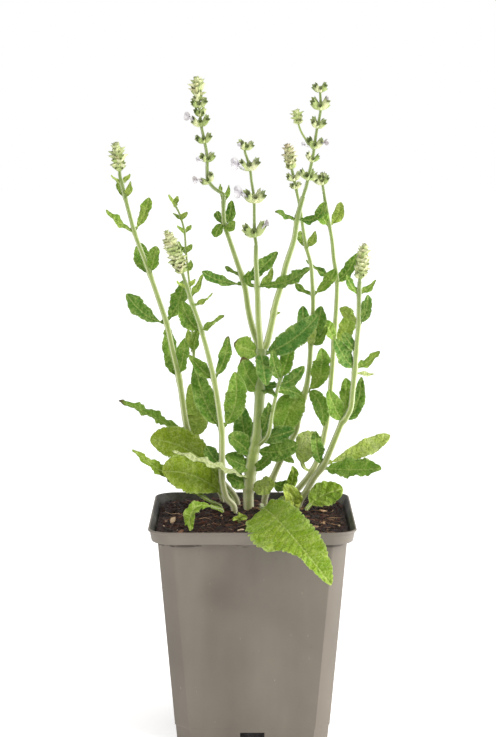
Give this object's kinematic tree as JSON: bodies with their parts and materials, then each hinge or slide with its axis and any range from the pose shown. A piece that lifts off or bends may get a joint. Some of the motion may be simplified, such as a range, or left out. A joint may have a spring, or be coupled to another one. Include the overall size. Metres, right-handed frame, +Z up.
{
  "type": "potted woodland sage",
  "caption": "Square tapered nursery pot filled with growing medium, holding a bushy herb with square leafy stems, toothed leaves and slender flower spikes.",
  "frame": {"origin": "centre of the pot's underside, on the surface that it stands on", "axes": "+Z up along the plant, -Y towards the viewer, +X to the right"},
  "size_m": [0.1561, 0.1273, 0.3553],
  "materials": {
    "pot_plastic": "injection-moulded taupe plastic, matt with a faint sheen",
    "peat": "moist dark peat with bark chips and fibres",
    "stem_and_leaf": "soft green leaf, wrinkled and finely hairy, on paler square stems",
    "flower_spike": "pale green bracts and calyces, hairy, with a few white corollas",
    "basal_leaf": "yellow-green wrinkled leaf with pale veins"
  },
  "bodies": {
    "root": {"pot": "pot_plastic", "growing_medium": "peat", "stem_left_outer": "stem_and_leaf", "stem_back_left": "stem_and_leaf", "stem_left": "stem_and_leaf", "stem_middle": "stem_and_leaf", "stem_right_inner": "stem_and_leaf", "stem_right": "stem_and_leaf", "stem_right_outer": "stem_and_leaf", "spike_left_outer": "flower_spike", "spike_left": "flower_spike", "head_middle_left": "flower_spike", "head_middle": "flower_spike", "head_middle_right": "flower_spike", "spike_right_inner": "flower_spike", "head_right": "flower_spike", "spike_right_outer": "flower_spike", "leaf_front": "basal_leaf", "leaf_left_round": "basal_leaf", "leaf_left_low": "basal_leaf", "leaf_left_far": "basal_leaf", "leaf_front_left": "basal_leaf", "leaf_right": "basal_leaf", "leaf_upright_pale": "basal_leaf", "leaf_upright_round": "basal_leaf", "seedling": "basal_leaf"}
  },
  "joints": []
}
